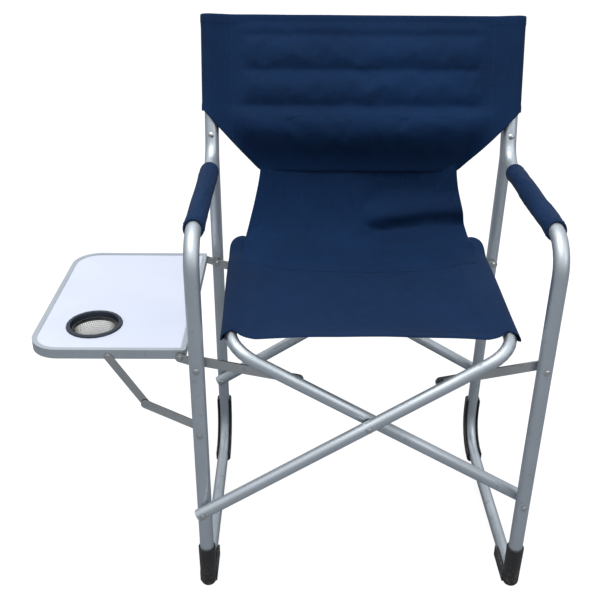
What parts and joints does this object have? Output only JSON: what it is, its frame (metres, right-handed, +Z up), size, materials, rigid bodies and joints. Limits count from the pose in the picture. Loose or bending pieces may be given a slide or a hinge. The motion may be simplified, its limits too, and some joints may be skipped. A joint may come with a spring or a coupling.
{
  "type": "folding director chair with side table",
  "caption": "Folding aluminium armchair with a sling seat and back, cross frame, skid feet and a fold-down side table with a cup holder.",
  "frame": {"origin": "On the floor, at the middle of the opened chair with its side table (bounding box bottom centre)", "axes": "+X from the side table across the seat, +Y from the front feet to the back, +Z up; the sitter looks along -Y"},
  "size_m": [0.749, 0.4384, 0.8228],
  "materials": {
    "satin_aluminium": "satin anodised",
    "plated_steel": "plated",
    "black_plastic": "moulded matte",
    "navy_fabric": "woven polyester, coated",
    "white_board": "laminate, satin",
    "grey_net": "open net"
  },
  "bodies": {
    "left_side": {"arm_tube_left": "satin_aluminium", "base_tube_left": "satin_aluminium", "arm_pad_left": "navy_fabric", "front_foot_left": "black_plastic", "rear_saddle_left": "black_plastic", "rear_leg_plug_left": "black_plastic", "post_rivet_left": "plated_steel", "pivot_rivet_front_left": "plated_steel", "pivot_rivet_rear_left": "plated_steel", "link_rivet_front_left": "plated_steel", "link_spacer_front_left": "black_plastic", "link_rivet_rear_left": "plated_steel", "table_bracket_front": "plated_steel", "table_bracket_rear": "plated_steel", "brace_leg_rivet": "plated_steel"},
    "right_side": {"arm_tube_right": "satin_aluminium", "base_tube_right": "satin_aluminium", "arm_pad_right": "navy_fabric", "front_foot_right": "black_plastic", "rear_saddle_right": "black_plastic", "rear_leg_plug_right": "black_plastic", "post_rivet_right": "plated_steel", "pivot_rivet_front_right": "plated_steel", "pivot_rivet_rear_right": "plated_steel", "link_rivet_front_right": "plated_steel", "link_rivet_rear_right": "plated_steel"},
    "cross_a": {"cross_tube_a": "satin_aluminium", "cross_rivet_front": "plated_steel", "cross_rivet_rear": "plated_steel", "cross_bush_front": "black_plastic", "cross_bush_rear": "black_plastic", "link_spacer_front_right": "black_plastic", "link_spacer_rear_right": "black_plastic"},
    "cross_b": {"cross_tube_b": "satin_aluminium", "link_spacer_rear_left": "black_plastic"},
    "links_left": {"link_front_left": "plated_steel", "link_button_front_left": "plated_steel", "link_rear_left": "plated_steel", "link_button_rear_left": "plated_steel"},
    "links_right": {"link_front_right": "plated_steel", "link_button_front_right": "plated_steel", "link_rear_right": "plated_steel", "link_button_rear_right": "plated_steel"},
    "seat_left": {"seat_panel_left": "navy_fabric"},
    "seat_right": {"seat_panel_right": "navy_fabric"},
    "back_left": {"back_panel_left": "navy_fabric"},
    "back_right": {"back_panel_right": "navy_fabric"},
    "table": {"table_rim": "satin_aluminium", "table_board": "white_board", "cup_ring": "black_plastic", "cup_net": "grey_net", "table_pin_front": "plated_steel", "table_pin_rear": "plated_steel", "brace_apron_rivet": "plated_steel"},
    "brace_lower": {"brace_lower": "plated_steel", "brace_knee_rivet": "plated_steel"},
    "brace_upper": {"brace_upper": "plated_steel"}
  },
  "joints": [
    {"name": "chair_fold", "type": "hinge", "parent": "left_side", "child": "cross_a", "pos_m": [-0.1305, 0.00025, 0.161], "axis": [0, -1, 0], "range_deg": [0, 34.92]},
    {"name": "cross_pivot", "type": "hinge", "parent": "cross_a", "child": "cross_b", "pos_m": [0.1145, 0.00025, 0.31295], "axis": [0, -1, 0], "range_deg": [-69.9, 0]},
    {"name": "right_side_pivot", "type": "hinge", "parent": "cross_b", "child": "right_side", "pos_m": [0.3595, 0.00025, 0.161], "axis": [0, -1, 0], "range_deg": [0, 34.97]},
    {"name": "left_links_pivot", "type": "hinge", "parent": "left_side", "child": "links_left", "pos_m": [-0.1305, 0.00025, 0.406], "axis": [0, -1, 0], "range_deg": [0, 74.75]},
    {"name": "right_links_pivot", "type": "hinge", "parent": "right_side", "child": "links_right", "pos_m": [0.3595, 0.00025, 0.406], "axis": [0, -1, 0], "range_deg": [-74.75, 0]},
    {"name": "seat_left_rail", "type": "hinge", "parent": "cross_b", "child": "seat_left", "pos_m": [-0.0855, 0.00025, 0.437], "axis": [0, -1, 0], "range_deg": [-27.43, 0]},
    {"name": "seat_middle", "type": "hinge", "parent": "seat_left", "child": "seat_right", "pos_m": [0.1145, 0.00025, 0.437], "axis": [0, -1, 0], "range_deg": [0, 124.65]},
    {"name": "back_left_post", "type": "hinge", "parent": "left_side", "child": "back_left", "pos_m": [-0.1305, 0.15892, 0.64], "axis": [0, 0.2672, 0.9636], "range_deg": [0, 62.35]},
    {"name": "back_middle", "type": "hinge", "parent": "back_left", "child": "back_right", "pos_m": [0.1145, 0.15892, 0.64], "axis": [0, 0.2672, 0.9636], "range_deg": [-124.65, 0]},
    {"name": "table_fold", "type": "hinge", "parent": "left_side", "child": "table", "pos_m": [-0.1555, -0.00308, 0.4144], "axis": [0, -1, 0], "range_deg": [0, 90], "stiffness_Nm_per_rad": 1.5, "springref_deg": -51.57},
    {"name": "brace_lower_pivot", "type": "hinge", "parent": "left_side", "child": "brace_lower", "pos_m": [-0.1305, -0.17408, 0.295], "axis": [0, -1, 0], "range_deg": [0, 78.45]},
    {"name": "brace_upper_pivot", "type": "hinge", "parent": "table", "child": "brace_upper", "pos_m": [-0.2575, -0.17108, 0.4144], "axis": [0, -1, 0], "range_deg": [-141.21, 0]}
  ],
  "couplings": [
    {"joint": "cross_pivot", "follows": "chair_fold", "ratio": -2},
    {"joint": "right_side_pivot", "follows": "chair_fold", "ratio": 1},
    {"joint": "left_links_pivot", "follows": "chair_fold", "ratio": 2.1389},
    {"joint": "right_links_pivot", "follows": "chair_fold", "ratio": -2.1389},
    {"joint": "seat_left_rail", "follows": "chair_fold", "ratio": -0.78389},
    {"joint": "seat_middle", "follows": "chair_fold", "ratio": 3.5678},
    {"joint": "back_left_post", "follows": "chair_fold", "ratio": 1.7839},
    {"joint": "back_middle", "follows": "chair_fold", "ratio": -3.5678},
    {"joint": "brace_lower_pivot", "follows": "table_fold", "ratio": 0.87116},
    {"joint": "brace_upper_pivot", "follows": "table_fold", "ratio": -1.5684}
  ]
}
